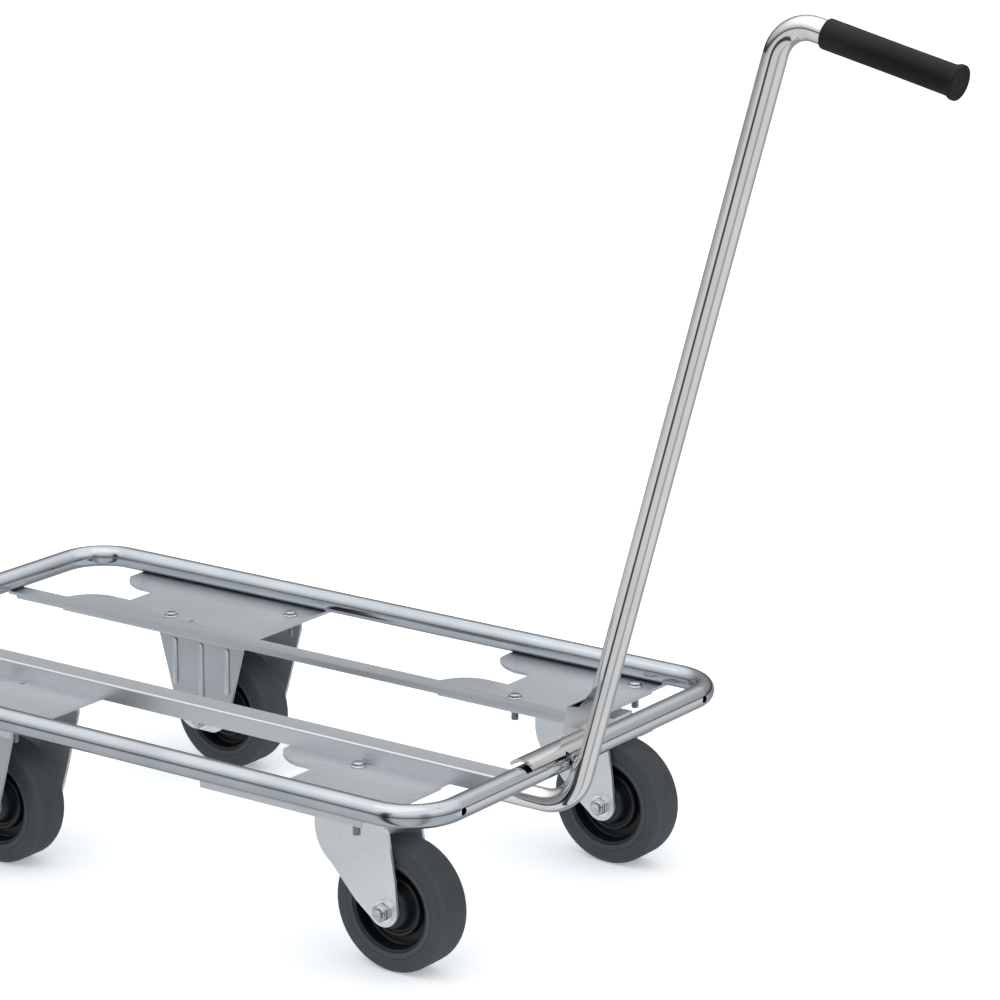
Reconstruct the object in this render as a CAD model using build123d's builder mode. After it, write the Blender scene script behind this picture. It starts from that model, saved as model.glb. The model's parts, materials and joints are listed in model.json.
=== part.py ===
"""Tubular crate dolly with two fixed and two swivel casters and a hook-on folding pull handle.

Millimetres, +Z up, origin on the floor under the middle of the whole object. +X points to the handle end.
Every place along X is counted from the middle of the frame ring, deck_x.
"""

from build123d import *
import math
import os

# ---- frame ring -------------------------------------------------------------------------------
outer_length = 670.0  # over the ring tube
outer_width = 410.0
tube_d = 18.0
tube_wall = 2.0
corner_radius = 38.0  # centreline radius of the four bends
end_hole_d = 6.0
end_hole_inset = 38.0  # from the side tube's centre to each hole in the handle-end tube

# ---- carrier sheets and rail ------------------------------------------------------------------
caster_height = 128.0  # floor to the top of a caster's plate
sheet_t = 2.5
lip_drop = 5.0  # folded edge, measured from the sheet's top
deep_lip_drop = 6.2  # the same beside the caster seats
vent_hole_r = 2.0
strip_width = 17.0
caster_pitch = 280.5  # across the frame, between the casters' middles
side_pitch = 280.0  # from the far sheet's outline to the same outline on the near side
strip_inset = 114.0  # from the far tube's centre to the folded edge
caster_inset = 55.5  # from the folded edge to the casters' middles
sheet_overlap = 4.0  # how far a sheet reaches past the far tube's centre
swivel_sheet_length = 150.0  # from the start of the bulge to the square end
fixed_sheet_length = 206.0
bulge_run = 50.0  # from the start of the bulge to the step
bulge_rise = 23.4
bulge_blend = 28.0
notch_depth = 32.3  # between the bulge and the tongue
tongue_square = 34.0  # from the rounded tip to the step
rail_width = 21.0
rail_height = 14.0
rail_wall = 2.0
rail_inset = 100.0  # from the near tube's centre to the rail's near face

# ---- casters ----------------------------------------------------------------------------------
wheel_d = 100.0
tyre_width = 32.0
tyre_wall = 16.0
rim_width = 29.0
hub_width = 34.0
hub_r = 15.0
roller_r = 11.0
roller_t = 3.4
axle_r = 4.0
caster_plate_long = 100.0
caster_plate_short = 85.0
caster_plate_t = 3.0
bolt_pitch_long = 80.0
bolt_pitch_short = 60.0
bolt_r = 3.0
leg_t = 2.5
rib_width = 4.5
rib_rise = 1.2
swivel_leg_gap = 37.0
fixed_leg_gap = 74.0
trail = 40.0
kingpin_r = 6.0
race_r = 28.0
ball_r = 3.0
ball_pitch_r = 20.0
ball_count = 16
fork_crown_z = 114.5

# ---- handle -----------------------------------------------------------------------------------
handle_tube_d = 18.0
handle_wall = 1.5
handle_lean = 15.9  # degrees outward from upright
handle_y = -21.0
leg_length = 595.8  # from the ring tube's axis to the corner of the top bend
grip_drop = 13.0  # degrees that the grip falls below level
grip_start = 33.9  # from the corner of the top bend
grip_length = 107.0
grip_d = 22.0
grip_flange_d = 25.2
grip_flange_t = 4.0
top_bend_r = 27.0
hook_bend_r = 34.6
hook_start = 6.0  # below the ring tube's axis, along the leg
tail_length = 38.0
saddle_inner_r = 12.0
saddle_wall = 2.5
saddle_from = 38.0  # degrees above level, outer side
saddle_to = 142.0
bracket_wall = 2.3

# ---- clearances -------------------------------------------------------------------------------
running_gap = 0.3  # between pieces that pass each other
pin_gap = 0.05  # radial, in a running bore
bolt_clearance = 0.3  # radial, round a bolt in a sheet

# ---- worked-out values ------------------------------------------------------------------------
tube_r = tube_d / 2
half_l = outer_length / 2 - tube_r
half_w = outer_width / 2 - tube_r
sheet_bottom = caster_height
sheet_top = sheet_bottom + sheet_t
tube_z = sheet_top + tube_r
plate_bottom = caster_height - caster_plate_t
wheel_r = wheel_d / 2
rim_r = wheel_r - tyre_wall
handle_r = handle_tube_d / 2
lean = math.radians(handle_lean)
drop = math.radians(grip_drop)
leg_offset = tube_r + handle_r + running_gap
along = (math.sin(lean), math.cos(lean))
outward = (math.cos(lean), -math.sin(lean))
grip_end = grip_start + grip_length


def leg_point(distance):
    """A point (x, z) on the handle's leg, counted from the ring tube's axis, x from the ring's middle."""
    x = half_l + leg_offset * outward[0] + distance * along[0]
    z = tube_z + leg_offset * outward[1] + distance * along[1]
    return x, z


corner_x, corner_z = leg_point(leg_length)


def grip_point(distance):
    """A point (x, z) on the grip's axis, counted from the corner of the top bend."""
    return corner_x + distance * math.cos(drop), corner_z - distance * math.sin(drop)


reach = grip_point(grip_end)[0] + grip_flange_d / 2 * math.sin(drop)
deck_x = (outer_length / 2 - reach) / 2

fold_y = half_w - strip_inset
swivel_sheet_end = half_l - 53.7
swivel_sheet_start = swivel_sheet_end - swivel_sheet_length
swivel_x = swivel_sheet_end - 3.0 - caster_plate_short / 2
fixed_sheet_start = swivel_sheet_start - 396.0
fixed_sheet_end = fixed_sheet_start + fixed_sheet_length
fixed_x = fixed_sheet_end - 7.6 - caster_plate_long / 2
far_y = fold_y + caster_inset
near_y = far_y - caster_pitch
rail_near_y = -half_w + rail_inset
rail_far_y = rail_near_y + rail_width
saddle_end_y = rail_far_y + 1.0

os.makedirs("parts", exist_ok=True)


def save(piece, name):
    """Label a finished piece and write it."""
    piece.label = name
    export_step(piece, f"parts/{name}.step")


def level(x, y, z):
    """A level plane at a place counted from the ring's middle."""
    return Plane(origin=(deck_x + x, y, z), x_dir=(1, 0, 0), z_dir=(0, 0, 1))


def across(x, y, z):
    """A plane facing -Y, with local x along X and local y up."""
    return Plane(origin=(deck_x + x, y, z), x_dir=(1, 0, 0), z_dir=(0, -1, 0))


# ---- ring tube --------------------------------------------------------------------------------
with BuildPart() as ring_tube:
    with BuildLine(level(0, 0, tube_z)) as half_path:
        FilletPolyline(
            (0, -half_w), (half_l, -half_w), (half_l, half_w), (0, half_w), radius=corner_radius
        )
    with BuildSketch(Plane(origin=(deck_x, -half_w, tube_z), x_dir=(0, 1, 0), z_dir=(1, 0, 0))):
        Circle(tube_r)
        Circle(tube_r - tube_wall, mode=Mode.SUBTRACT)
    sweep(path=half_path.wires()[0])
    mirror(about=Plane(origin=(deck_x, 0, 0), z_dir=(1, 0, 0)))
    for side in (-1, 1):
        with BuildSketch(
            Plane(
                origin=(deck_x + half_l, side * (half_w - end_hole_inset), tube_z),
                x_dir=(0, 1, 0),
                z_dir=(1, 0, 0),
            )
        ):
            Circle(end_hole_d / 2)
        extrude(amount=tube_r + 1, mode=Mode.SUBTRACT)
save(ring_tube.part, "ring_tube")


# ---- carrier sheets ---------------------------------------------------------------------------
def sheet_outline(start, length, shift):
    """One caster plate's outline: a bulge off the strip, a step, a notch and a round-tipped tongue.

    The outline is drawn for the far side and moved by shift along Y.
    """
    low = fold_y + shift
    strip_y = low + strip_width
    bulge_y = strip_y + bulge_rise
    tongue_y = bulge_y + notch_depth
    top = half_w + sheet_overlap + shift
    step = start + bulge_run
    tip = step - tongue_square / 2
    end = start + length
    with BuildLine() as outline:
        Polyline((end, low), (start, low), (start, strip_y))
        ThreePointArc(
            (start, strip_y),
            (start + bulge_blend * 0.36, strip_y + bulge_rise * 0.68),
            (start + bulge_blend, bulge_y),
        )
        Polyline((start + bulge_blend, bulge_y), (step, bulge_y), (step, tongue_y), (tip, tongue_y))
        ThreePointArc(
            (tip, tongue_y),
            (tip - tongue_square * 0.46, tongue_y + tongue_square * 0.2),
            (tip - tongue_square * 0.86, tongue_y + tongue_square * 0.62),
        )
        Polyline((tip - tongue_square * 0.86, tongue_y + tongue_square * 0.62), (start + 2.5, top))
        Polyline((start + 2.5, top), (end, top), (end, low))
    make_face(outline.edges())


def bolt_places(x, y, long_axis_x, corners):
    """Hole centres of a caster plate at the chosen corners, each a pair of signs."""
    dx = (bolt_pitch_long if long_axis_x else bolt_pitch_short) / 2
    dy = (bolt_pitch_short if long_axis_x else bolt_pitch_long) / 2
    return [(x + sx * dx, y + sy * dy) for sx, sy in corners]


rising = ((-1, -1), (1, 1))
falling = ((-1, 1), (1, -1))
every_corner = rising + falling
far_swivel_bolts = bolt_places(swivel_x, far_y, False, rising)
far_fixed_bolts = bolt_places(fixed_x, far_y, True, rising)
near_swivel_bolts = bolt_places(swivel_x, near_y, False, falling)
near_fixed_bolts = bolt_places(fixed_x, near_y, True, falling)


def drill(places, z, radius, depth):
    """Cut round holes downwards from z in the part that is being built."""
    for x, y in places:
        with BuildSketch(level(x, y, z)) as hole:
            Circle(radius)
        extrude(hole.sketch, amount=-depth, mode=Mode.SUBTRACT)


def fold_lip(start, end, shift, depth):
    """The folded edge along a sheet's near side, hanging below it."""
    with BuildSketch(level((start + end) / 2, fold_y + shift + sheet_t / 2, sheet_bottom)) as lip:
        Rectangle(end - start, sheet_t)
    extrude(lip.sketch, amount=-(depth - sheet_t))


strip_end = half_l
with BuildPart() as far_sheet:
    with BuildSketch(level(0, 0, sheet_bottom)):
        sheet_outline(swivel_sheet_start, swivel_sheet_length, 0)
        sheet_outline(fixed_sheet_start, fixed_sheet_length, 0)
        with Locations((0, fold_y + strip_width / 2)):
            Rectangle(2 * strip_end, strip_width)
    extrude(amount=sheet_t)
    fold_lip(-half_l + tube_r, half_l - tube_r, 0, lip_drop)
    for start, end in ((fixed_sheet_start, fixed_sheet_end), (swivel_sheet_start, swivel_sheet_end)):
        fold_lip(start + 10, end, 0, deep_lip_drop)
    drill(far_swivel_bolts + far_fixed_bolts, sheet_top, bolt_r + bolt_clearance, sheet_t)
    drill([(fixed_x - 16.5, fold_y + 24)], sheet_top, vent_hole_r, sheet_t)
save(far_sheet.part, "far_carrier_sheet")

with BuildPart() as near_swivel_sheet:
    with BuildSketch(level(0, 0, sheet_bottom)):
        sheet_outline(swivel_sheet_start, swivel_sheet_length, -side_pitch)
    extrude(amount=sheet_t)
    fold_lip(swivel_sheet_start, swivel_sheet_end, -side_pitch, lip_drop)
    drill(near_swivel_bolts, sheet_top, bolt_r + bolt_clearance, sheet_t)
save(near_swivel_sheet.part, "near_swivel_carrier_plate")

with BuildPart() as near_fixed_sheet:
    with BuildSketch(level(0, 0, sheet_bottom)):
        sheet_outline(fixed_sheet_start, fixed_sheet_length, -side_pitch)
    extrude(amount=sheet_t)
    fold_lip(fixed_sheet_start, fixed_sheet_end, -side_pitch, lip_drop)
    drill(near_fixed_bolts, sheet_top, bolt_r + bolt_clearance, sheet_t)
    drill([(fixed_x - 16.5, rail_near_y - 5.5)], sheet_top, vent_hole_r, sheet_t)
save(near_fixed_sheet.part, "near_fixed_carrier_plate")

rail_length = 2 * (half_l - tube_r - 0.1)
with BuildPart() as rail:
    with BuildSketch(level(0, (rail_near_y + rail_far_y) / 2, sheet_top)):
        Rectangle(rail_length, rail_width)
    extrude(amount=rail_height)
    with BuildSketch(level(0, (rail_near_y + rail_far_y) / 2, sheet_top)):
        Rectangle(rail_length, rail_width - 2 * rail_wall)
    extrude(amount=rail_height - rail_wall, mode=Mode.SUBTRACT)
    top_edges = rail.edges().filter_by(Axis.X).group_by(Axis.Z)[-1]
    fillet(top_edges, rail_wall * 0.8)
save(rail.part, "near_inner_rail")

# ---- caster bolts -----------------------------------------------------------------------------
head_flange_r = 6.2
head_flange_t = 1.2
head_height = 3.6
bolt_end_z = sheet_top - 18.0
with BuildPart() as caster_bolts:
    for place in far_swivel_bolts + far_fixed_bolts + near_swivel_bolts + near_fixed_bolts:
        with BuildSketch(level(*place, sheet_top)):
            Circle(head_flange_r)
        extrude(amount=head_flange_t)
        with BuildSketch(level(*place, sheet_top + head_flange_t)):
            RegularPolygon(4.6, 6, major_radius=False)
        extrude(amount=head_height - head_flange_t)
        with BuildSketch(level(*place, sheet_top)):
            Circle(bolt_r)
        extrude(amount=bolt_end_z - sheet_top)
save(caster_bolts.part, "caster_bolts")


# ---- caster pieces ----------------------------------------------------------------------------
def leg_pair(outline, x, y, gap):
    """Two upright legs with the given outline drawing function, either side of a gap along Y."""
    for side in (-1, 1):
        outer = y + side * (gap / 2 + leg_t)
        with BuildSketch(across(x, max(outer, y + side * gap / 2), 0)) as leg:
            outline()
        extrude(leg.sketch, amount=leg_t)


def axle_holes(x, y, gap):
    """The axle's holes through both legs."""
    with BuildSketch(across(x, y + gap / 2 + leg_t, wheel_r)) as hole:
        Circle(axle_r + pin_gap)
    extrude(hole.sketch, amount=gap + 2 * leg_t, mode=Mode.SUBTRACT)


def fixed_leg_outline():
    """A broad trapezoid leg with rounded lower corners, wheel axle in its lower middle."""
    with BuildLine() as outline:
        Polyline((-45, plate_bottom), (45, plate_bottom), (45, 118), (31.5, 70), (27.5, 57))
        ThreePointArc((27.5, 57), (21.5, 45.5), (11, 40))
        Line((11, 40), (-11, 40))
        ThreePointArc((-11, 40), (-21.5, 45.5), (-27.5, 57))
        Polyline((-27.5, 57), (-31.5, 70), (-45, 118), (-45, plate_bottom))
    make_face(outline.edges())


def make_fixed_fork(y, name):
    """A rigid caster's bracket: top plate with two folded-down legs and pressed ribs."""
    with BuildPart() as fork:
        with BuildSketch(level(fixed_x, y, plate_bottom)):
            RectangleRounded(caster_plate_long, caster_plate_short, 6)
        extrude(amount=caster_plate_t)
        leg_pair(fixed_leg_outline, fixed_x, y, fixed_leg_gap)
        for side in (-1, 1):
            face_y = y + side * (fixed_leg_gap / 2 + leg_t)
            for rib_x, rib_foot in ((-28, 76), (0, 62), (28, 76)):
                rib_height = 116 - rib_foot
                start_y = face_y + (rib_rise if side > 0 else 0.0)
                with BuildSketch(across(fixed_x + rib_x, start_y, rib_foot + rib_height / 2)):
                    SlotOverall(rib_height, rib_width, rotation=90)
                extrude(amount=rib_rise)
        axle_holes(fixed_x, y, fixed_leg_gap)
        drill(bolt_places(fixed_x, y, True, every_corner), caster_height, bolt_r + pin_gap, caster_plate_t)
    save(fork.part, name)


def swivel_leg_outline():
    """A swivel fork's leg: broad at the crown, swept back to a round boss at the axle."""
    crown_top = fork_crown_z + leg_t
    with BuildLine() as outline:
        Polyline((-24, crown_top), (40, crown_top), (41, 113), (43.5, 110), (46.5, 92), (49.5, 74), (51.5, 50))
        ThreePointArc((51.5, 50), (41, 37.5), (28, 42))
        Polyline((28, 42), (13.5, 53), (-9.5, 77.5))
        ThreePointArc((-9.5, 77.5), (-21.5, 92), (-24, 103))
        Line((-24, 103), (-24, crown_top))
    make_face(outline.edges())


def make_swivel_fork(y, name):
    """A swivel caster's fork: crown plate with two trailing legs."""
    with BuildPart() as fork:
        crown_width = swivel_leg_gap + 2 * leg_t
        with BuildSketch(level(swivel_x + 8, y, fork_crown_z)):
            Rectangle(64, crown_width)
        extrude(amount=leg_t)
        leg_pair(swivel_leg_outline, swivel_x, y, swivel_leg_gap)
        with BuildSketch(level(swivel_x, y, fork_crown_z)):
            Circle(kingpin_r + pin_gap)
        extrude(amount=leg_t, mode=Mode.SUBTRACT)
        axle_holes(swivel_x + trail, y, swivel_leg_gap)
    save(fork.part, name)


def make_swivel_plate(y, name):
    """A swivel caster's top plate with the ball cup hanging under it."""
    with BuildPart() as plate:
        with BuildSketch(level(swivel_x, y, plate_bottom)):
            RectangleRounded(caster_plate_short, caster_plate_long, 6)
            Circle(kingpin_r, mode=Mode.SUBTRACT)
        extrude(amount=caster_plate_t)
        with BuildSketch(level(swivel_x, y, plate_bottom)):
            Circle(race_r)
            Circle(race_r - 2, mode=Mode.SUBTRACT)
        extrude(amount=-7)
        drill(bolt_places(swivel_x, y, False, every_corner), caster_height, bolt_r + pin_gap, caster_plate_t)
    save(plate.part, name)


ball_z = plate_bottom - ball_r - running_gap
race_top = ball_z - ball_r - running_gap
king_head_top = fork_crown_z - 4.0


def make_kingpin(y, name):
    """The pin that a swivel fork turns on, riveted flush into the top plate."""
    with BuildPart() as pin:
        with BuildSketch(level(swivel_x, y, caster_height)):
            Circle(kingpin_r)
        extrude(amount=king_head_top - caster_height)
        with BuildSketch(level(swivel_x, y, king_head_top)):
            Circle(11)
        extrude(amount=-3)
    save(pin.part, name)


def make_balls(y, name):
    """The ring of steel balls between the top plate and the fork's race."""
    with BuildPart() as balls:
        for index in range(ball_count):
            angle = math.radians(360 * index / ball_count)
            bx = swivel_x + ball_pitch_r * math.cos(angle)
            by = y + ball_pitch_r * math.sin(angle)
            with Locations((deck_x + bx, by, ball_z)):
                Sphere(ball_r)
    save(balls.part, name)


def make_race(y, name):
    """The lower ball race, pressed onto the fork's crown."""
    with BuildPart() as race:
        with BuildSketch(level(swivel_x, y, fork_crown_z + leg_t)):
            Circle(race_r - 2 - 2 * running_gap)
            Circle(kingpin_r + 4, mode=Mode.SUBTRACT)
        extrude(amount=race_top - fork_crown_z - leg_t)
    save(race.part, name)


def make_thrust_washer(y, name):
    """The washer under the crown, above the kingpin's head."""
    with BuildPart() as washer:
        with BuildSketch(level(swivel_x, y, king_head_top + running_gap)):
            Circle(10.5)
            Circle(kingpin_r + pin_gap, mode=Mode.SUBTRACT)
        extrude(amount=fork_crown_z - king_head_top - running_gap)
    save(washer.part, name)


nut_height = 6.5
nut_flat = 6.5
washer_t = 1.6
washer_r = 8.5
bolt_tail = 1.5
bolt_head_t = 5.3


def axle_bolt(x, y, gap):
    """A wheel axle: hex head on the far side, threaded end past the nut on the near side."""
    far_face = y + gap / 2 + leg_t
    near_end = y - gap / 2 - leg_t - washer_t - nut_height - bolt_tail
    with BuildSketch(across(x, far_face, wheel_r)) as shank:
        Circle(axle_r)
    extrude(shank.sketch, amount=far_face - near_end)
    with BuildSketch(across(x, far_face + bolt_head_t, wheel_r)) as head:
        RegularPolygon(nut_flat, 6, major_radius=False)
    extrude(head.sketch, amount=bolt_head_t)


def axle_sleeve(x, y, gap):
    """The spacer tube that the legs are clamped on and the rollers run on."""
    with BuildSketch(across(x, y + gap / 2, wheel_r)) as ring:
        Circle(roller_r - roller_t)
        Circle(axle_r + pin_gap, mode=Mode.SUBTRACT)
    extrude(ring.sketch, amount=gap)


def axle_spacers(x, y, gap):
    """The two collars on the sleeve that keep the wheel in the middle of its fork."""
    width = (gap - hub_width) / 2 - running_gap
    for start in (y + gap / 2, y - gap / 2 + width):
        with BuildSketch(across(x, start, wheel_r)) as ring:
            Circle(roller_r - 0.5)
            Circle(roller_r - roller_t, mode=Mode.SUBTRACT)
        extrude(ring.sketch, amount=width)


def axle_washer(x, y, gap):
    """The washer under an axle nut."""
    with BuildSketch(across(x, y - gap / 2 - leg_t, wheel_r)) as ring:
        Circle(washer_r)
        Circle(axle_r + pin_gap, mode=Mode.SUBTRACT)
    extrude(ring.sketch, amount=washer_t)


def axle_nut(x, y, gap):
    """A hex lock nut on the near side."""
    with BuildSketch(across(x, y - gap / 2 - leg_t - washer_t, wheel_r)) as hexagon:
        RegularPolygon(nut_flat, 6, major_radius=False)
        Circle(axle_r, mode=Mode.SUBTRACT)
    extrude(hexagon.sketch, amount=nut_height)


axle_makers = {
    "bolt": axle_bolt,
    "sleeve": axle_sleeve,
    "spacers": axle_spacers,
    "washer": axle_washer,
    "nut": axle_nut,
}

for name, makes in axle_makers.items():
    with BuildPart() as fixed_set:
        for y in (near_y, far_y):
            makes(fixed_x, y, fixed_leg_gap)
    save(fixed_set.part, f"fixed_axle_{name.rstrip('s')}s")

make_fixed_fork(near_y, "near_fixed_fork")
make_fixed_fork(far_y, "far_fixed_fork")

for side, y in (("near", near_y), ("far", far_y)):
    make_swivel_plate(y, f"{side}_swivel_plate")
    make_kingpin(y, f"{side}_kingpin")
    make_balls(y, f"{side}_race_balls")
    make_swivel_fork(y, f"{side}_swivel_fork")
    make_race(y, f"{side}_ball_race")
    make_thrust_washer(y, f"{side}_thrust_washer")
    for name, makes in axle_makers.items():
        with BuildPart() as axle_piece:
            makes(swivel_x + trail, y, swivel_leg_gap)
        save(axle_piece.part, f"{side}_axle_{name}")


# ---- wheels -----------------------------------------------------------------------------------
def make_wheel(x, y, name):
    """Tyre, rim and roller bearing of one wheel, turned about the axle."""
    axle = Axis((deck_x + x, y, wheel_r), (0, 1, 0))
    section = Plane(origin=(deck_x + x, y, wheel_r), x_dir=(0, 1, 0), z_dir=(-1, 0, 0))
    half_tyre = tyre_width / 2
    half_rim = rim_width / 2
    half_hub = hub_width / 2
    web = 3.0
    with BuildPart() as tyre:
        with BuildSketch(section):
            with BuildLine():
                Polyline((half_rim, rim_r), (half_tyre, rim_r + 3), (half_tyre, wheel_r - 5))
                ThreePointArc(
                    (half_tyre, wheel_r - 5), (half_tyre - 1.6, wheel_r - 1.7), (half_tyre - 6, wheel_r)
                )
                Line((half_tyre - 6, wheel_r), (6 - half_tyre, wheel_r))
                ThreePointArc(
                    (6 - half_tyre, wheel_r), (1.6 - half_tyre, wheel_r - 1.7), (-half_tyre, wheel_r - 5)
                )
                Polyline((-half_tyre, wheel_r - 5), (-half_tyre, rim_r + 3), (-half_rim, rim_r))
                Line((-half_rim, rim_r), (half_rim, rim_r))
            make_face()
        revolve(axis=axle)
    save(tyre.part, f"{name}_tyre")
    with BuildPart() as rim:
        with BuildSketch(section):
            with BuildLine():
                Polyline(
                    (half_rim, rim_r),
                    (half_rim, rim_r - 4),
                    (web, rim_r - 6),
                    (web, hub_r + 2),
                    (half_hub, hub_r),
                    (half_hub, roller_r),
                    (-half_hub, roller_r),
                    (-half_hub, hub_r),
                    (-web, hub_r + 2),
                    (-web, rim_r - 6),
                    (-half_rim, rim_r - 4),
                    (-half_rim, rim_r),
                    close=True,
                )
            make_face()
        revolve(axis=axle)
    save(rim.part, f"{name}_rim")
    with BuildPart() as rollers:
        with BuildSketch(across(x, y + half_hub, wheel_r)):
            Circle(roller_r)
            Circle(roller_r - roller_t + pin_gap, mode=Mode.SUBTRACT)
        extrude(amount=hub_width)
    save(rollers.part, f"{name}_roller_bearing")


make_wheel(fixed_x, near_y, "near_fixed")
make_wheel(fixed_x, far_y, "far_fixed")
make_wheel(swivel_x + trail, near_y, "near_swivel")
make_wheel(swivel_x + trail, far_y, "far_swivel")

# ---- handle -----------------------------------------------------------------------------------
handle_plane = across(0, handle_y, 0)
tail_z = leg_point(-hook_start)[1] - hook_bend_r * (1 - math.sin(lean))
hook_corner_s = (tail_z - leg_point(0)[1]) / along[1]
hook_corner = leg_point(hook_corner_s)
tail_x = leg_point(-hook_start)[0] - hook_bend_r * math.cos(lean) - tail_length
tube_end = grip_point(grip_end - 3.0)
with BuildPart() as handle_tube:
    with BuildLine(handle_plane) as leg_path:
        FilletPolyline(
            (tail_x, tail_z), hook_corner, (corner_x, corner_z), tube_end, radius=[hook_bend_r, top_bend_r]
        )
    tail_plane = Plane(origin=(deck_x + tail_x, handle_y, tail_z), x_dir=(0, 1, 0), z_dir=(1, 0, 0))
    with BuildSketch(tail_plane):
        Circle(handle_r)
        Circle(handle_r - handle_wall, mode=Mode.SUBTRACT)
    sweep(path=leg_path.wires()[0])
save(handle_tube.part, "handle_tube")

with BuildPart() as tail_cap:
    with BuildSketch(tail_plane):
        Circle(handle_r)
    extrude(amount=-2.5)
    with BuildSketch(tail_plane):
        Circle(handle_r - handle_wall)
    extrude(amount=9)
save(tail_cap.part, "tail_cap")


def grip_plane(distance):
    """A plane across the grip's axis, facing away from the bend."""
    x, z = grip_point(distance)
    return Plane(
        origin=(deck_x + x, handle_y, z), x_dir=(0, 1, 0), z_dir=(math.cos(drop), 0, -math.sin(drop))
    )


with BuildPart() as grip:
    with BuildSketch(grip_plane(grip_start)):
        Circle(grip_d / 2)
    extrude(amount=grip_length)
    with BuildSketch(grip_plane(grip_end - grip_flange_t)):
        Circle(grip_flange_d / 2)
    extrude(amount=grip_flange_t)
    with BuildSketch(grip_plane(grip_start)):
        Circle(handle_r)
    extrude(amount=grip_length - 3.0, mode=Mode.SUBTRACT)
save(grip.part, "grip")

saddle_outer_r = saddle_inner_r + saddle_wall
saddle_start_y = handle_y + handle_r + bracket_wall
with BuildPart() as saddle:
    with BuildSketch(across(half_l, saddle_start_y, tube_z)):
        with BuildLine():
            start, end = math.radians(saddle_from), math.radians(saddle_to)
            middle = (start + end) / 2
            for radius in (saddle_inner_r, saddle_outer_r):
                ThreePointArc(
                    (radius * math.cos(start), radius * math.sin(start)),
                    (radius * math.cos(middle), radius * math.sin(middle)),
                    (radius * math.cos(end), radius * math.sin(end)),
                )
            for angle in (start, end):
                Line(
                    (saddle_inner_r * math.cos(angle), saddle_inner_r * math.sin(angle)),
                    (saddle_outer_r * math.cos(angle), saddle_outer_r * math.sin(angle)),
                )
        make_face()
    extrude(amount=saddle_start_y - saddle_end_y)
save(saddle.part, "saddle")

# The bracket is a channel that straddles the leg and stands on the saddle.
bracket_foot = (half_l + 4.5, tube_z + saddle_inner_r)
bracket_shoulder = (half_l + 10.8, tube_z + 45.6)
bracket_tip = leg_point(78.0)
bracket_base = leg_point(14.0)
with BuildPart() as bracket:
    side_face_y = handle_y + handle_r + bracket_wall
    with BuildSketch(across(0, side_face_y, 0)):
        with BuildLine():
            Polyline(
                bracket_foot,
                bracket_shoulder,
                (bracket_shoulder[0] + 10, bracket_shoulder[1] + 1),
                bracket_tip,
                bracket_base,
                bracket_foot,
            )
        make_face()
    extrude(amount=2 * (handle_r + bracket_wall))
    with BuildSketch(across(0, handle_y + handle_r, 0)):
        with BuildLine():
            Polyline(
                (bracket_foot[0] + bracket_wall, bracket_foot[1] - 10),
                (bracket_shoulder[0] + bracket_wall, bracket_shoulder[1] + 5),
                (bracket_tip[0], bracket_tip[1] + 20),
                (bracket_tip[0] + 40, bracket_tip[1] - 40),
                (bracket_base[0] + 20, bracket_foot[1] - 10),
                close=True,
            )
        make_face()
    extrude(amount=2 * handle_r, mode=Mode.SUBTRACT)
    with BuildSketch(across(half_l, side_face_y + 1, tube_z)):
        Circle(saddle_outer_r)
    extrude(amount=2 * (handle_r + bracket_wall) + 2, mode=Mode.SUBTRACT)
save(bracket.part, "handle_bracket")
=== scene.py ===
"""Looks for the tubular crate dolly: plated steel, turned wheels, fasteners, grip and the studio round it."""

import json
import logging
import math
from dataclasses import dataclass, field
from enum import Enum

import bpy
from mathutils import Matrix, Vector


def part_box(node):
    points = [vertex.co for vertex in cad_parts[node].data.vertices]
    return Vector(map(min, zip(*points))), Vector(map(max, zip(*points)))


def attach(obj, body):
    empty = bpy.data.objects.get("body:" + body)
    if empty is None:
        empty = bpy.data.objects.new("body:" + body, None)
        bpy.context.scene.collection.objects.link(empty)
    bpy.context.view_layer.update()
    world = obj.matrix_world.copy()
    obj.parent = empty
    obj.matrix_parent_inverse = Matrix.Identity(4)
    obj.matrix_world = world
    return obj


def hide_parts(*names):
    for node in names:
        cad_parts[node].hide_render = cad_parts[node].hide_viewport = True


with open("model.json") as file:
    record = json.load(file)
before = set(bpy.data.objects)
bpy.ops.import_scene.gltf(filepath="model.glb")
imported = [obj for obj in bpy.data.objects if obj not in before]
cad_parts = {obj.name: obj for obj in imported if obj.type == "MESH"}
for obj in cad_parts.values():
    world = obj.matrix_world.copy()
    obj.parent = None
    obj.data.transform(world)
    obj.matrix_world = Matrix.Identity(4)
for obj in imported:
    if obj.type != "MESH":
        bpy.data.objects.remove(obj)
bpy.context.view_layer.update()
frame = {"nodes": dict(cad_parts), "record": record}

MM = 0.001
# Saddle and handle bracket: the handle's chrome with a darker base colour, painted shade standing in for the
# darker surroundings they reflect.
PAINTED_SHADE_CHROME_NODES = ("saddle", "handle_bracket")
log = logging.getLogger("crate_dolly")


class Side(Enum):
    """The two long sides of the dolly."""

    NEAR = "near"
    FAR = "far"


class Station(Enum):
    """The two caster places along each side."""

    FIXED = "fixed"
    SWIVEL = "swivel"


def node_middle(node: str) -> Vector:
    """Return the middle of a CAD node's box."""
    low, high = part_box(node)
    return (Vector(low) + Vector(high)) / 2


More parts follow.
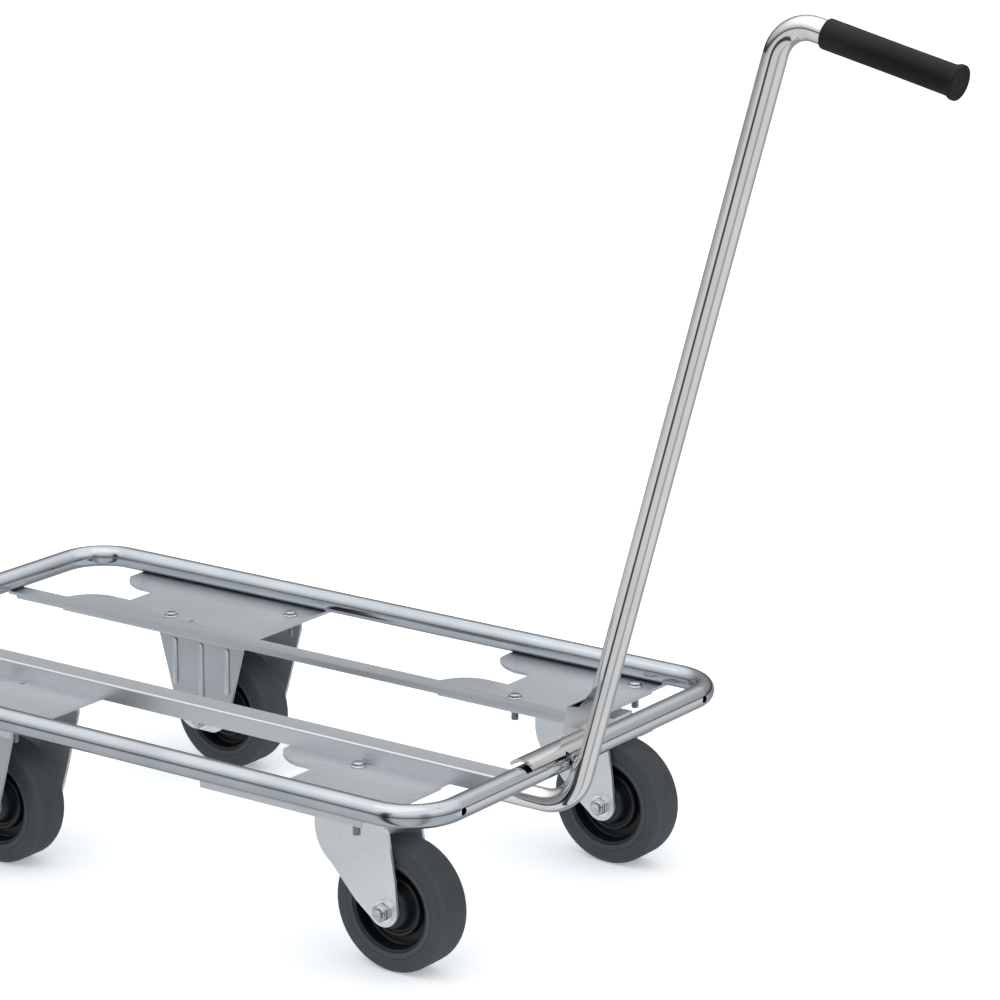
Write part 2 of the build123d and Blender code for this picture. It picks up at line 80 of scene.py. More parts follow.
class Bench:
    """Modelling steps done with Blender's own operators. All sizes are in metres."""

    @staticmethod
    def clear() -> None:
        """Leave edit mode and deselect everything."""
        active = bpy.context.view_layer.objects.active
        if active is not None and active.mode != "OBJECT":
            bpy.ops.object.mode_set(mode="OBJECT")
        bpy.ops.object.select_all(action="DESELECT")

    @staticmethod
    def pick(piece: bpy.types.Object) -> None:
        """Make one piece the only selected and the active one."""
        Bench.clear()
        piece.select_set(True)
        bpy.context.view_layer.objects.active = piece

    @staticmethod
    def settle(piece: bpy.types.Object, name: str) -> bpy.types.Object:
        """Name a piece and put its place, turn and scale into its mesh.

        Args:
            piece: The object to settle.
            name: Its new name.

        Returns:
            The same object, at the origin, unturned and unscaled.
        """
        Bench.pick(piece)
        bpy.ops.object.transform_apply(location=True, rotation=True, scale=True)
        piece.name = name
        piece.data.name = name
        return piece

    @staticmethod
    def smooth(piece: bpy.types.Object, degrees: float = 32.0) -> None:
        """Shade a piece smooth, keeping edges sharper than an angle."""
        Bench.pick(piece)
        bpy.ops.object.shade_smooth_by_angle(angle=math.radians(degrees))

    @staticmethod
    def bevel(piece: bpy.types.Object, width: float, segments: int = 2, degrees: float = 30.0) -> None:
        """Round a piece's sharp edges and keep the result.

        Args:
            piece: The object to round.
            width: Bevel width in metres.
            segments: Steps across each rounded edge.
            degrees: Edges sharper than this are rounded.
        """
        Bench.pick(piece)
        modifier = piece.modifiers.new("rounding", "BEVEL")
        modifier.width = width
        modifier.segments = segments
        modifier.limit_method = "ANGLE"
        modifier.angle_limit = math.radians(degrees)
        bpy.ops.object.modifier_apply(modifier=modifier.name)

    @staticmethod
    def turn_up(
        name: str,
        profile: list[tuple[float, float]],
        centre: Vector,
        axis: Vector,
        steps: int = 72,
        closed: bool = True,
    ) -> bpy.types.Object:
        """Turn a piece on the lathe: draw its section by extruding a point, then spin it.

        Args:
            name: Name of the piece.
            profile: (along, radius) pairs in millimetres, along the axis from the centre.
            centre: A point on the axis, in metres.
            axis: Direction of the axis.
            steps: Facets round the piece.
            closed: Join the last point to the first.

        Returns:
            The turned piece, with its place in its mesh.
        """
        along = axis.normalized()
        helper = Vector((0, 0, 1)) if abs(along.z) < 0.9 else Vector((1, 0, 0))
        out = along.cross(helper).normalized()
        points = [centre + along * (a * MM) + out * (r * MM) for a, r in profile]
        if closed:
            points.append(points[0].copy())
        Bench.clear()
        bpy.ops.mesh.primitive_plane_add(size=0.002, location=(0, 0, 0))
        piece = bpy.context.view_layer.objects.active
        bpy.ops.object.mode_set(mode="EDIT")
        bpy.ops.mesh.select_all(action="SELECT")
        bpy.ops.mesh.merge(type="CENTER")
        bpy.ops.transform.translate(value=points[0])
        for before, after in zip(points, points[1:]):
            bpy.ops.mesh.extrude_region_move(TRANSFORM_OT_translate={"value": after - before})
        bpy.ops.mesh.select_all(action="SELECT")
        bpy.ops.mesh.spin(steps=steps, angle=2 * math.pi, center=centre, axis=along)
        bpy.ops.mesh.select_all(action="SELECT")
        bpy.ops.mesh.remove_doubles(threshold=0.000004)
        bpy.ops.mesh.normals_make_consistent(inside=False)
        bpy.ops.object.mode_set(mode="OBJECT")
        Bench.settle(piece, name)
        Bench.smooth(piece)
        return piece

    @staticmethod
    def hexagon(
        name: str, across_flats: float, height: float, centre: Vector, axis: Vector, chamfer: float
    ) -> bpy.types.Object:
        """Make a hexagonal head or nut with softened corners.

        Args:
            name: Name of the piece.
            across_flats: Spanner size in metres.
            height: Height along the axis in metres.
            centre: Middle of the hexagon.
            axis: Direction of its axis.
            chamfer: Width of the softened edges in metres.

        Returns:
            The hexagonal piece.
        """
        Bench.clear()
        turn = axis.to_track_quat("Z", "Y").to_euler()
        bpy.ops.mesh.primitive_cylinder_add(
            vertices=6, radius=across_flats / math.sqrt(3), depth=height, location=centre, rotation=turn
        )
        piece = Bench.settle(bpy.context.view_layer.objects.active, name)
        Bench.bevel(piece, chamfer, 3)
        Bench.smooth(piece)
        return piece

    @staticmethod
    def copy_to(piece: bpy.types.Object, move: Vector, name: str) -> bpy.types.Object:
        """Copy a finished piece with its own mesh and move the copy.

        Args:
            piece: The piece to copy.
            move: How far the copy goes, in metres.
            name: Name of the copy.

        Returns:
            The copy, with its place in its mesh.
        """
        Bench.pick(piece)
        bpy.ops.object.duplicate(linked=False)
        twin = bpy.context.view_layer.objects.active
        bpy.ops.transform.translate(value=move)
        return Bench.settle(twin, name)

    @staticmethod
    def join(pieces: list[bpy.types.Object], name: str) -> bpy.types.Object:
        """Join several meshes of one physical piece into one object.

        Args:
            pieces: The meshes to join.
            name: Name of the result.

        Returns:
            The joined object.
        """
        Bench.clear()
        for piece in pieces:
            piece.select_set(True)
        bpy.context.view_layer.objects.active = pieces[0]
        bpy.ops.object.join()
        return Bench.settle(pieces[0], name)


class NodeBoard:
    """A small helper that adds and wires shader nodes in one material."""

    def __init__(self, name: str) -> None:
        """Start a material with an empty board, a shader and an output."""
        self.material = bpy.data.materials.new(name)
        self.material.use_nodes = True
        self.tree = self.material.node_tree
        self.tree.nodes.clear()
        self.shader = self.add("ShaderNodeBsdfPrincipled")
        output = self.add("ShaderNodeOutputMaterial")
        self.wire(self.shader.outputs["BSDF"], output.inputs["Surface"])
        self.coords = self.add("ShaderNodeTexCoord").outputs["Object"]

    def add(self, kind: str) -> bpy.types.Node:
        """Add one node of a kind."""
        return self.tree.nodes.new(kind)

    def wire(self, source: bpy.types.NodeSocket, target: bpy.types.NodeSocket) -> None:
        """Join an output to an input."""
        self.tree.links.new(source, target)

    def noise(
        self, scale: float, detail: float = 4.0, stretch: tuple[float, float, float] = (1, 1, 1)
    ) -> bpy.types.NodeSocket:
        """Add a noise pattern on the piece's own coordinates.

        Args:
            scale: Cells per metre.
            detail: Octaves of finer noise.
            stretch: Scale along each axis.

        Returns:
            The pattern's value, from 0 to 1.
        """
        mapping = self.add("ShaderNodeMapping")
        mapping.inputs["Scale"].default_value = stretch
        self.wire(self.coords, mapping.inputs["Vector"])
        node = self.add("ShaderNodeTexNoise")
        node.inputs["Scale"].default_value = scale
        node.inputs["Detail"].default_value = detail
        self.wire(mapping.outputs["Vector"], node.inputs["Vector"])
        return node.outputs["Fac"]

    def spots(self, scale: float) -> bpy.types.NodeSocket:
        """Add a cell pattern and return its random cell brightness."""
        node = self.add("ShaderNodeTexVoronoi")
        node.inputs["Scale"].default_value = scale
        self.wire(self.coords, node.inputs["Vector"])
        grey = self.add("ShaderNodeRGBToBW")
        self.wire(node.outputs["Color"], grey.inputs["Color"])
        return grey.outputs["Val"]

    def edges(self, low: float = 0.52, high: float = 0.62) -> bpy.types.NodeSocket:
        """Return 0 on flat faces rising to 1 on worn outer edges."""
        geometry = self.add("ShaderNodeNewGeometry")
        return self.span(geometry.outputs["Pointiness"], low, high, 0.0, 1.0)

    def span(
        self, value: bpy.types.NodeSocket, low: float, high: float, to_low: float, to_high: float
    ) -> bpy.types.NodeSocket:
        """Map a value's range to another range.

        Args:
            value: The value to map.
            low: Value that becomes to_low.
            high: Value that becomes to_high.
            to_low: Start of the new range.
            to_high: End of the new range.

        Returns:
            The mapped value, kept inside the new range.
        """
        node = self.add("ShaderNodeMapRange")
        node.inputs["From Min"].default_value = low
        node.inputs["From Max"].default_value = high
        node.inputs["To Min"].default_value = to_low
        node.inputs["To Max"].default_value = to_high
        self.wire(value, node.inputs["Value"])
        return node.outputs["Result"]

    def blend(
        self,
        factor: bpy.types.NodeSocket,
        first: tuple[float, float, float] | bpy.types.NodeSocket,
        second: tuple[float, float, float],
    ) -> bpy.types.NodeSocket:
        """Mix two colours by a factor.

        Args:
            factor: 0 gives the first colour, 1 the second.
            first: A colour or a colour socket.
            second: A colour.

        Returns:
            The mixed colour.
        """
        node = self.add("ShaderNodeMix")
        node.data_type = "RGBA"
        self.wire(factor, node.inputs["Factor"])
        if isinstance(first, tuple):
            node.inputs[6].default_value = (*first, 1.0)
        else:
            self.wire(first, node.inputs[6])
        node.inputs[7].default_value = (*second, 1.0)
        return node.outputs[2]

    def total(self, first: bpy.types.NodeSocket, second: bpy.types.NodeSocket) -> bpy.types.NodeSocket:
        """Add two values."""
        node = self.add("ShaderNodeMath")
        node.operation = "ADD"
        self.wire(first, node.inputs[0])
        self.wire(second, node.inputs[1])
        return node.outputs["Value"]

    def bump(self, height: bpy.types.NodeSocket, strength: float, depth: float) -> None:
        """Give the shader a bumpy surface of a depth in metres."""
        node = self.add("ShaderNodeBump")
        node.inputs["Strength"].default_value = strength
        node.inputs["Distance"].default_value = depth
        self.wire(height, node.inputs["Height"])
        self.wire(node.outputs["Normal"], self.shader.inputs["Normal"])


@dataclass(frozen=True)
class PlatedSteel:
    """Zinc or chrome plate on steel: fine grain, cloudy tone, brighter rubbed edges."""

    name: str
    tone: tuple[float, float, float]
    cloud_tone: tuple[float, float, float]
    worn_tone: tuple[float, float, float]
    roughness: float
    roughness_swing: float
    grain_scale: float
    grain_stretch: tuple[float, float, float] = (1.0, 1.0, 1.0)
    bump_depth: float = 0.00004
    bump_strength: float = 0.25
    anisotropy: float = 0.0
    metallic: float = 1.0

    def build(self) -> bpy.types.Material:
        """Build the material.

        Returns:
            A node material ready to assign.
        """
        board = NodeBoard(self.name)
        cloud = board.noise(14.0, 3.0)
        grain = board.noise(self.grain_scale, 5.0, self.grain_stretch)
        crystals = board.spots(420.0)
        mottled = board.blend(board.span(cloud, 0.35, 0.65, 0.0, 1.0), self.tone, self.cloud_tone)
        rubbed = board.blend(board.edges(), mottled, self.worn_tone)
        board.wire(rubbed, board.shader.inputs["Base Color"])
        swing = board.span(grain, 0.3, 0.7, -self.roughness_swing, self.roughness_swing)
        flake = board.span(crystals, 0.0, 1.0, self.roughness - 0.02, self.roughness + 0.02)
        board.wire(board.total(swing, flake), board.shader.inputs["Roughness"])
        relief = board.total(grain, board.span(crystals, 0.0, 1.0, 0.0, 0.3))
        board.bump(relief, self.bump_strength, self.bump_depth)
        board.shader.inputs["Metallic"].default_value = self.metallic
        board.shader.inputs["Anisotropic"].default_value = self.anisotropy
        return board.material


@dataclass(frozen=True)
class Moulded:
    """Moulded rubber or plastic: fine texture, dusty highs, scuffed edges."""

    name: str
    tone: tuple[float, float, float]
    dusty_tone: tuple[float, float, float]
    scuffed_tone: tuple[float, float, float]
    roughness: float
    roughness_swing: float = 0.06
    specular: float = 0.5
    texture_scale: float = 900.0
    bump_depth: float = 0.00012
    bump_strength: float = 0.35

    def build(self) -> bpy.types.Material:
        """Build the material.

        Returns:
            A node material ready to assign.
        """
        board = NodeBoard(self.name)
        dust = board.noise(22.0, 5.0)
        texture = board.noise(self.texture_scale, 3.0)
        dusty = board.blend(board.span(dust, 0.4, 0.75, 0.0, 1.0), self.tone, self.dusty_tone)
        scuffed = board.blend(board.edges(0.51, 0.6), dusty, self.scuffed_tone)
        board.wire(scuffed, board.shader.inputs["Base Color"])
        swing = self.roughness_swing
        rough = board.span(texture, 0.3, 0.7, self.roughness - swing, self.roughness + swing)
        board.wire(rough, board.shader.inputs["Roughness"])
        board.bump(texture, self.bump_strength, self.bump_depth)
        board.shader.inputs["Specular IOR Level"].default_value = self.specular
        return board.material


@dataclass
class FinishShelf:
    """Every finish of the dolly, one per material slot of the record, plus a darker chrome that carries
    painted shade.
    """

    made: dict[str, bpy.types.Material] = field(default_factory=dict)

    def fill(self) -> None:
        """Build all finishes."""
        finishes: dict[str, PlatedSteel | Moulded] = {
            "zinc_tube": PlatedSteel(
                "zinc plated tube", (0.52, 0.55, 0.57), (0.44, 0.47, 0.50), (0.84, 0.86, 0.88),
                0.15, 0.03, 700.0, (1.0, 1.0, 6.0), anisotropy=0.2,
            ),
            "zinc_sheet": PlatedSteel(
                "zinc plated sheet", (0.33, 0.355, 0.37), (0.275, 0.30, 0.315), (0.66, 0.68, 0.70),
                0.36, 0.05, 1100.0, metallic=0.9,
            ),
            "zinc_caster": PlatedSteel(
                "zinc plated pressings", (0.47, 0.50, 0.52), (0.41, 0.44, 0.46), (0.80, 0.82, 0.84),
                0.32, 0.04, 900.0, bump_strength=0.12, metallic=0.7,
            ),
            "zinc_fasteners": PlatedSteel(
                "zinc plated fasteners", (0.46, 0.48, 0.50), (0.32, 0.34, 0.36), (0.86, 0.88, 0.90),
                0.16, 0.05, 1500.0,
            ),
            "handle_chrome": PlatedSteel(
                "polished chrome", (0.80, 0.79, 0.78), (0.74, 0.73, 0.73), (0.92, 0.92, 0.92),
                0.07, 0.012, 500.0, (1.0, 1.0, 0.2), bump_depth=0.00001, bump_strength=0.1,
            ),
            # Painted shade: the handle's polished chrome with a darker base colour, worn edges included, for
            # the saddle and bracket.
            "chrome_painted_shade": PlatedSteel(
                "polished chrome, satin", (0.46, 0.45, 0.435), (0.38, 0.37, 0.36), (0.66, 0.65, 0.64),
                0.08, 0.015, 500.0, bump_depth=0.00001, bump_strength=0.1,
            ),
            "bearing_steel": PlatedSteel(
                "oiled bearing steel", (0.42, 0.42, 0.42), (0.30, 0.30, 0.30), (0.7, 0.7, 0.7),
                0.25, 0.05, 1200.0,
            ),
            "grey_tyre": Moulded(
                "grey solid rubber", (0.044, 0.051, 0.055), (0.060, 0.067, 0.071), (0.10, 0.11, 0.115),
                0.52, texture_scale=1200.0, specular=0.28,
            ),
            "black_rim": Moulded(
                "black moulded rim", (0.006, 0.008, 0.010), (0.011, 0.014, 0.016), (0.035, 0.04, 0.045), 0.36,
                specular=0.3,
            ),
            "black_grip": Moulded(
                "black soft grip", (0.003, 0.003, 0.0034), (0.006, 0.006, 0.0065), (0.02, 0.02, 0.022), 0.5,
                texture_scale=700.0, specular=0.2,
            ),
        }
        for slot_name, finish in finishes.items():
            self.made[slot_name] = finish.build()

    def dress(self, piece: bpy.types.Object, slot_name: str) -> None:
        """Give a new piece one finish."""
        piece.data.materials.clear()
        piece.data.materials.append(self.made[slot_name])

    def dress_frame(self) -> None:
        """Give every CAD node the finish of its slot; the saddle and handle bracket get the darker chrome
        with painted shade instead.
        """
        for entry in frame["record"]["subparts"]:
            node = frame["nodes"][entry["node"]]
            # The saddle and bracket take the chrome darkened with painted shade.
            painted_shade = entry["node"] in PAINTED_SHADE_CHROME_NODES
            finish = self.made["chrome_painted_shade" if painted_shade else entry["material_slot"]]
            if not node.material_slots:
                node.data.materials.append(finish)
            for place in node.material_slots:
                place.material = finish


@dataclass
class Wheel:
    """One wheel's tyre and rim, turned about its axle. Sizes in millimetres."""

    side: Side
    station: Station
    radius: float = 50.0
    half_width: float = 16.0
    shoulder: float = 5.0
    rim_r: float = 34.0
    rim_half: float = 14.5
    hub_half: float = 17.0

    @property
    def label(self) -> str:
        """The wheel's name in the record, such as near_fixed."""
        return f"{self.side.value}_{self.station.value}"

    @property
    def centre(self) -> Vector:
        """The middle of the wheel."""
        return node_middle(f"{self.label}_tyre")

    def tyre_section(self) -> list[tuple[float, float]]:
        """Return the tyre's section, with rounded shoulders and a fine mould line."""
        half: list[tuple[float, float]] = [(0.0, self.radius), (0.35, self.radius), (0.6, self.radius - 0.12)]
        half.append((self.half_width - self.shoulder, self.radius - 0.12))
        for step in range(1, 7):
            angle = math.radians(15 * step)
            half.append(
                (
                    self.half_width - self.shoulder + self.shoulder * math.sin(angle),
                    self.radius - 0.12 - self.shoulder * (1 - math.cos(angle)),
                )
            )
        half.append((self.half_width, self.radius - self.shoulder - 6.0))
        half.append((self.half_width - 0.25, self.radius - self.shoulder - 6.3))
        half.append((self.half_width - 0.25, self.radius - self.shoulder - 6.9))
        half.append((self.half_width, self.radius - self.shoulder - 7.2))
        half.append((self.half_width, self.rim_r + 0.9))
        half.append((self.half_width - 0.3, self.rim_r + 0.3))
        half.append((self.half_width - 0.9, self.rim_r))
        half.append((self.rim_half - 0.6, self.rim_r - 0.3))
        return half + [(-a, r) for a, r in reversed(half[1:])]

    def rim_section(self) -> list[tuple[float, float]]:
        """Return the rim's section: lip, deep recess, stepped hub and boss."""
        half = [
            (self.rim_half - 0.5, self.rim_r),
            (self.rim_half, self.rim_r - 0.5),
            (self.rim_half, self.rim_r - 1.6),
            (self.rim_half - 0.6, self.rim_r - 2.2),
            (4.8, self.rim_r - 3.4),
            (4.0, self.rim_r - 4.4),
            (4.0, 24.2),
            (4.6, 23.6),
            (8.6, 23.0),
            (9.2, 22.4),
            (9.2, 20.8),
            (8.4, 20.2),
            (8.4, 18.6),
            (9.2, 18.0),
            (12.4, 16.6),
            (self.hub_half - 0.7, 15.2),
            (self.hub_half, 14.5),
            (self.hub_half, 11.05),
        ]
        return half + [(-a, r) for a, r in reversed(half)]

    def build(self, shelf: FinishShelf) -> None:
        """Turn the tyre and rim, dress them and hang them on the wheel's body.

        Args:
            shelf: The finishes.
        """
        axis = Vector((0, 1, 0))
        tyre = Bench.turn_up(f"tyre_{self.label}", self.tyre_section(), self.centre, axis, 120)
        rim = Bench.turn_up(f"rim_{self.label}", self.rim_section(), self.centre, axis, 96)
        for piece, node, slot_name in ((tyre, "tyre", "grey_tyre"), (rim, "rim", "black_rim")):
            shelf.dress(piece, slot_name)
            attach(piece, f"{self.label}_wheel")
            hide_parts(f"{self.label}_{node}")
        log.info("wheel %s turned", self.label)


@dataclass
class CasterBolts:
    """The eight flanged bolts that hold the casters. Sizes in millimetres."""

    flange_r: float = 6.2
    head_height: float = 3.6
    stem_r: float = 3.0
    stem_length: float = 18.0
    pitch: float = 1.0

    def places(self) -> list[Vector]:
        """Return the point under each bolt's head, from the caster plates' boxes."""
        found: list[Vector] = []
        for side in Side:
            sign = 1 if side is Side.FAR else -1
            for station, node, dx, dy in (
                (Station.SWIVEL, "swivel_plate", 30, 40),
                (Station.FIXED, "fixed_fork", 40, 30),
            ):
                middle = node_middle(f"{side.value}_{node}")
                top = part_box("near_inner_rail")[0][2]
                for end in (-1, 1):
                    found.append(Vector((middle.x + end * dx * MM, middle.y + end * sign * dy * MM, top)))
        return found

    def build(self, shelf: FinishShelf) -> None:
        """Make one bolt and copy it to every place.

        Args:
            shelf: The finishes.
        """
        places = self.places()
        up = Vector((0, 0, 1))
        head = [
            (0.0, 0.0), (0.0, self.flange_r - 0.2), (0.25, self.flange_r), (0.8, self.flange_r),
            (1.15, self.flange_r - 0.5), (1.3, 5.0), (1.35, 4.7), (2.7, 4.5), (3.25, 3.8), (3.5, 2.4),
            (self.head_height, 0.0),
        ]
        stem: list[tuple[float, float]] = [(0.0, 0.0), (0.0, self.stem_r - 0.1)]
        turns = int(self.stem_length / self.pitch) - 1
        for turn in range(turns):
            stem.append((-1.0 - turn * self.pitch, self.stem_r - 0.45))
            stem.append((-1.5 - turn * self.pitch, self.stem_r))
        stem.append((-self.stem_length + 0.5, self.stem_r - 0.3))
        stem.append((-self.stem_length, self.stem_r - 0.8))
        stem.append((-self.stem_length, 0.0))
        first = Bench.join(
            [
                Bench.turn_up("bolt_head", head, places[0], up, 40, closed=False),
                Bench.turn_up("bolt_stem", stem, places[0], up, 20, closed=False),
            ],
            "caster_bolt_1",
        )
        bolts = [first]
        for number, place in enumerate(places[1:], 2):
            bolts.append(Bench.copy_to(first, place - places[0], f"caster_bolt_{number}"))
        for bolt in bolts:
            shelf.dress(bolt, "zinc_fasteners")
            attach(bolt, "deck")
            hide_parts("caster_bolts")
        log.info("caster bolts placed: %d", len(bolts))


@dataclass
class AxleNut:
    """A lock nut with its collar. Sizes in millimetres."""

    label: str
    node: str
    body: str
    centre: Vector
    height: float = 6.5
    flats: float = 13.0
    trim: float = 0.2
    hexagon_height: float = 4.8
    hexagon_shift: float = 0.85
    chamfer: float = 0.6

    def build(self, shelf: FinishShelf) -> None:
        """Make the nut, dress it and hang it on its body.

        Args:
            shelf: The finishes.
        """
        axis = Vector((0, -1, 0))
        flats = self.flats * MM - self.trim * MM
        middle = self.centre + axis * (-self.hexagon_shift * MM)
        hexagon = Bench.hexagon(
            "nut_hexagon", flats, self.hexagon_height * MM, middle, axis, self.chamfer * MM
        )
        collar = [(1.2, 4.2), (1.2, 5.9), (2.3, 5.8), (2.95, 5.3), (3.2, 4.7), (3.2, 4.2)]
        ring = Bench.turn_up("nut_collar", collar, self.centre, axis, 40)
        nut = Bench.join([hexagon, ring], self.label)
        shelf.dress(nut, "zinc_fasteners")
        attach(nut, self.body)
        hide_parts(self.node)
        log.info("nut %s made", self.label)


@dataclass
class PullHandle:
    """The grip of the pull handle. Sizes in millimetres."""

    drop_degrees: float = 13.0
    sleeve_r: float = 11.0
    flange_r: float = 12.6
    bore_r: float = 9.05

    def grip_ends(self) -> tuple[Vector, Vector]:
        """Return the middle of the grip's start and of its closed end."""
        low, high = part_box("grip")
        drop = math.radians(self.drop_degrees)
        y = (low[1] + high[1]) / 2
        sine, cosine = math.sin(drop), math.cos(drop)
        start = Vector((low[0] + self.sleeve_r * MM * sine, y, high[2] - self.sleeve_r * MM * cosine))
        end = Vector((high[0] - self.flange_r * MM * sine, y, low[2] + self.flange_r * MM * cosine))
        return start, end

    def build(self, shelf: FinishShelf) -> None:
        """Turn the grip and hang it on the handle.

        Args:
            shelf: The finishes.
        """
        start, end = self.grip_ends()
        axis = end - start
        length = axis.length / MM
        section = [
            (0.0, self.bore_r), (0.0, self.sleeve_r - 0.7), (0.2, self.sleeve_r - 0.3), (0.7, self.sleeve_r),
            (length * 0.5, self.sleeve_r - 0.15), (length - 8.0, self.sleeve_r),
            (length - 5.6, self.sleeve_r + 0.5),
            (length - 4.2, self.flange_r - 0.3), (length - 3.4, self.flange_r), (length - 1.2, self.flange_r),
            (length - 0.4, self.flange_r - 0.4), (length - 0.1, self.flange_r - 1.2),
            (length, self.flange_r - 2.2), (length - 0.35, self.flange_r - 3.2), (length - 0.35, 3.0),
            (length - 0.1, 2.0), (length - 0.1, 0.0), (length - 2.9, 0.0), (length - 2.9, self.bore_r),
        ]
        grip = Bench.turn_up("handle_grip", section, start, axis, 96)
        shelf.dress(grip, "black_grip")
        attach(grip, "handle")
        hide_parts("grip")
        log.info("grip turned, %.1f mm long", length)


@dataclass
class Studio:
    """The pale floor, the soft light round it and the camera."""

    lens: float = 142.5
    camera_from_ring: tuple[float, float, float] = (1.9181, -2.3095, 1.1036)
    target_from_ring: tuple[float, float, float] = (0.2526, 0.0, 0.3223)
    dome_strength: float = 1.0
    lamp_power: float = 10.0
    height_stops: tuple[tuple[float, float], ...] = (
        (0.0, 0.80), (0.42, 0.78), (0.485, 0.50), (0.5, 0.07), (0.53, 0.07), (0.55, 0.30), (0.60, 0.62),
        (0.68, 0.88), (0.80, 1.30), (1.0, 1.40),
    )
    flag_stops: tuple[tuple[float, float], ...] = (
        (0.0, 0.80), (0.16, 1.0), (0.188, 0.92), (0.198, 0.08), (0.236, 0.08), (0.25, 0.90), (0.35, 0.95),
        (0.39, 0.86), (0.41, 0.45), (0.43, 0.50), (0.46, 1.0), (0.62, 1.0), (0.70, 0.52), (0.90, 0.42),
        (1.0, 0.80),
    )

    def ring_middle(self) -> Vector:
        """Return the point on the floor under the ring's middle."""
        low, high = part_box("ring_tube")
        return Vector(((low[0] + high[0]) / 2, (low[1] + high[1]) / 2, 0.0))

    def set_camera(self) -> None:
        """Place the camera and make it the scene's."""
        data = bpy.data.cameras.new("camera")
        data.lens = self.lens
        data.sensor_width = 36.0
        data.clip_start = 0.05
        data.clip_end = 200.0
        camera = bpy.data.objects.new("camera", data)
        bpy.context.scene.collection.objects.link(camera)
        middle = self.ring_middle()
        camera.location = middle + Vector(self.camera_from_ring)
        aim = middle + Vector(self.target_from_ring) - camera.location
        camera.rotation_euler = aim.to_track_quat("-Z", "Y").to_euler()
        bpy.context.scene.camera = camera

    def lay_floor(self) -> None:
        """Lay a pale floor with a faint tone."""
        Bench.clear()
        bpy.ops.mesh.primitive_grid_add(x_subdivisions=4, y_subdivisions=4, size=60.0, location=(0, 0, 0))
        floor = Bench.settle(bpy.context.view_layer.objects.active, "studio_floor")
        board = NodeBoard("pale studio floor")
        patches = board.span(board.noise(3.0), 0.3, 0.7, 0.0, 1.0)
        tone = board.blend(patches, (0.84, 0.845, 0.85), (0.86, 0.865, 0.87))
        board.wire(tone, board.shader.inputs["Base Color"])
        board.shader.inputs["Roughness"].default_value = 0.9
        board.shader.inputs["Specular IOR Level"].default_value = 0.1
        board.shader.inputs["Emission Color"].default_value = (0.98, 0.99, 1.0, 1.0)
        board.shader.inputs["Emission Strength"].default_value = 0.34
        board.bump(board.noise(400.0), 0.05, 0.0001)
        floor.data.materials.append(board.material)
        floor.visible_glossy = False

    def dome_tones(self, tree: bpy.types.NodeTree) -> bpy.types.NodeSocket:
        """Paint the surround: bright ceiling, dark band at eye level, pale ground, a few upright flags.

        Args:
            tree: The world's node tree.

        Returns:
            The surround's colour.
        """
        coords = tree.nodes.new("ShaderNodeTexCoord")
        split = tree.nodes.new("ShaderNodeSeparateXYZ")
        tree.links.new(coords.outputs["Generated"], split.inputs["Vector"])
        half = tree.nodes.new("ShaderNodeMapRange")
        half.inputs["From Min"].default_value = -1.0
        tree.links.new(split.outputs["Z"], half.inputs["Value"])
        heights = self.ramp(tree, half.outputs["Result"], self.height_stops)
        around = tree.nodes.new("ShaderNodeTexGradient")
        around.gradient_type = "RADIAL"
        tree.links.new(coords.outputs["Generated"], around.inputs["Vector"])
        flags = self.ramp(tree, around.outputs["Fac"], self.flag_stops)
        clear = tree.nodes.new("ShaderNodeMapRange")
        clear.inputs["From Min"].default_value = 0.74
        clear.inputs["From Max"].default_value = 0.86
        tree.links.new(half.outputs["Result"], clear.inputs["Value"])
        fade = tree.nodes.new("ShaderNodeMix")
        fade.data_type = "RGBA"
        tree.links.new(clear.outputs["Result"], fade.inputs["Factor"])
        tree.links.new(flags, fade.inputs[6])
        fade.inputs[7].default_value = (1.0, 1.0, 1.0, 1.0)
        product = tree.nodes.new("ShaderNodeMix")
        product.data_type = "RGBA"
        product.blend_type = "MULTIPLY"
        product.inputs["Factor"].default_value = 1.0
        tree.links.new(heights, product.inputs[6])
        tree.links.new(fade.outputs[2], product.inputs[7])
        return product.outputs[2]

    @staticmethod
    def ramp(
        tree: bpy.types.NodeTree, value: bpy.types.NodeSocket, stops: tuple[tuple[float, float], ...]
    ) -> bpy.types.NodeSocket:
        """Turn a value into a grey by a list of stops.

        Args:
            tree: The node tree.
            value: The value from 0 to 1.
            stops: (place, grey) pairs in rising order.

        Returns:
            The grey, very slightly cool.
        """
        node = tree.nodes.new("ShaderNodeValToRGB")
        for index, (place, grey) in enumerate(stops):
            stop = node.color_ramp.elements[index] if index < 2 else node.color_ramp.elements.new(place)
            stop.position = place
            stop.color = (grey * 0.985, grey, grey * 1.015, 1.0)
        tree.links.new(value, node.inputs["Fac"])
        return node.outputs["Color"]

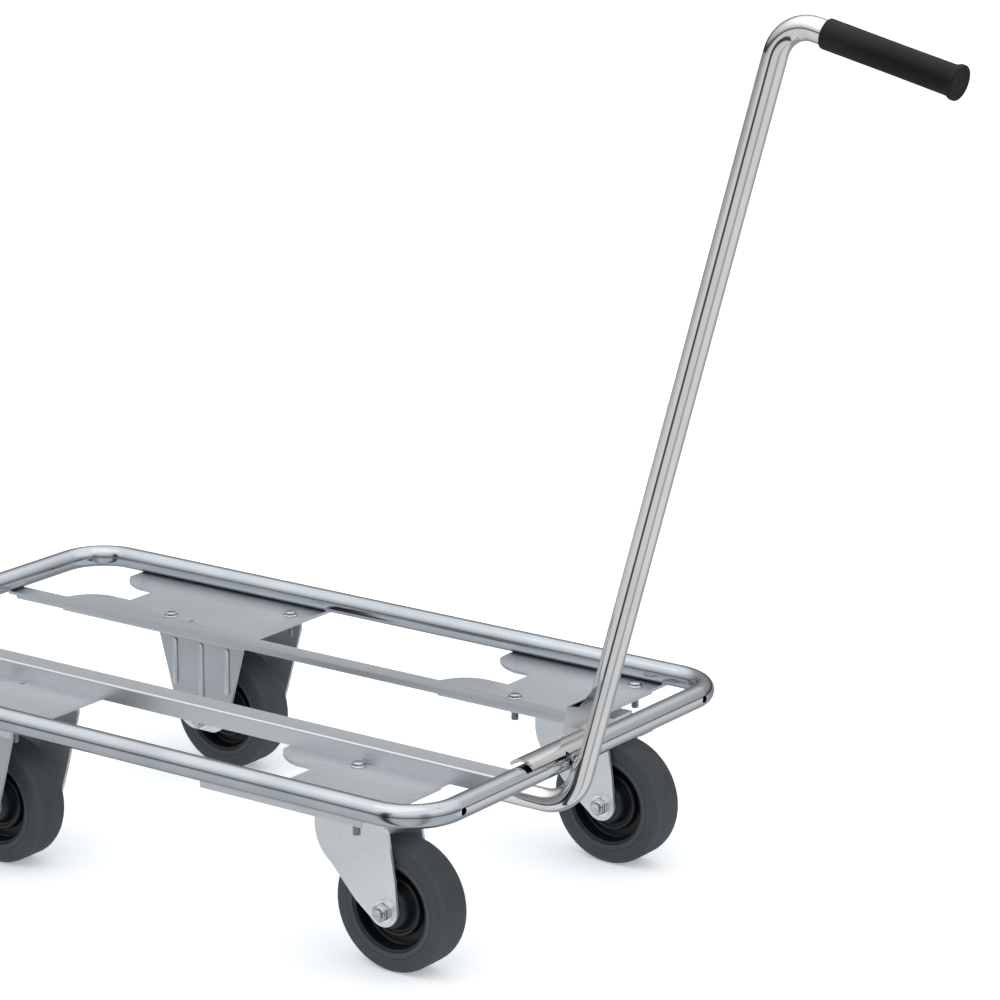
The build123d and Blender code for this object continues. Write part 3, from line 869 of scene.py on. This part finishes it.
    def light(self) -> None:
        """Light the scene with the surround and one large soft lamp."""
        world = bpy.data.worlds.new("surround")
        bpy.context.scene.world = world
        world.use_nodes = True
        tree = world.node_tree
        tree.nodes.clear()
        seen = tree.nodes.new("ShaderNodeBackground")
        seen.inputs["Color"].default_value = (0.985, 0.99, 0.995, 1.0)
        felt = tree.nodes.new("ShaderNodeBackground")
        tree.links.new(self.dome_tones(tree), felt.inputs["Color"])
        felt.inputs["Strength"].default_value = self.dome_strength
        path = tree.nodes.new("ShaderNodeLightPath")
        mix = tree.nodes.new("ShaderNodeMixShader")
        out = tree.nodes.new("ShaderNodeOutputWorld")
        tree.links.new(path.outputs["Is Camera Ray"], mix.inputs["Fac"])
        tree.links.new(felt.outputs["Background"], mix.inputs[1])
        tree.links.new(seen.outputs["Background"], mix.inputs[2])
        tree.links.new(mix.outputs["Shader"], out.inputs["Surface"])
        lamp_data = bpy.data.lights.new("overhead_softbox", "AREA")
        lamp_data.shape = "RECTANGLE"
        lamp_data.size = 3.0
        lamp_data.size_y = 3.0
        lamp_data.energy = self.lamp_power
        lamp = bpy.data.objects.new("overhead_softbox", lamp_data)
        bpy.context.scene.collection.objects.link(lamp)
        lamp.location = (-0.4, -0.6, 3.6)
        lamp.rotation_euler = (-lamp.location).to_track_quat("-Z", "Y").to_euler()
        bpy.context.scene.view_settings.view_transform = "Standard"

    def build(self) -> None:
        """Set up floor, light and camera."""
        self.lay_floor()
        self.light()
        self.set_camera()
        log.info("studio ready")


def axle_nuts() -> list[AxleNut]:
    """List the four axle nuts with their places.

    Returns:
        One nut per wheel.
    """
    nuts: list[AxleNut] = []
    for side in Side:
        label = side.value
        swivel_node = f"{label}_axle_nut"
        middle = node_middle(swivel_node)
        nuts.append(AxleNut(f"axle_nut_{label}_swivel", swivel_node, f"{label}_swivel", middle))
        low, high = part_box("fixed_axle_nuts")
        middle = node_middle("fixed_axle_nuts")
        half = AxleNut.height / 2 * MM
        middle.y = low[1] + half if side is Side.NEAR else high[1] - half
        nuts.append(AxleNut(f"axle_nut_{label}_fixed", "fixed_axle_nuts", "deck", middle))
    return nuts


def main() -> None:
    """Build every dressed piece in order, then the studio."""
    logging.basicConfig(level=logging.INFO, format="%(name)s: %(message)s")
    shelf = FinishShelf()
    shelf.fill()
    shelf.dress_frame()
    for side in Side:
        for station in Station:
            Wheel(side, station).build(shelf)
    CasterBolts().build(shelf)
    for nut in axle_nuts():
        nut.build(shelf)
    PullHandle().build(shelf)
    Studio().build()


if __name__ == "__main__":
    main()
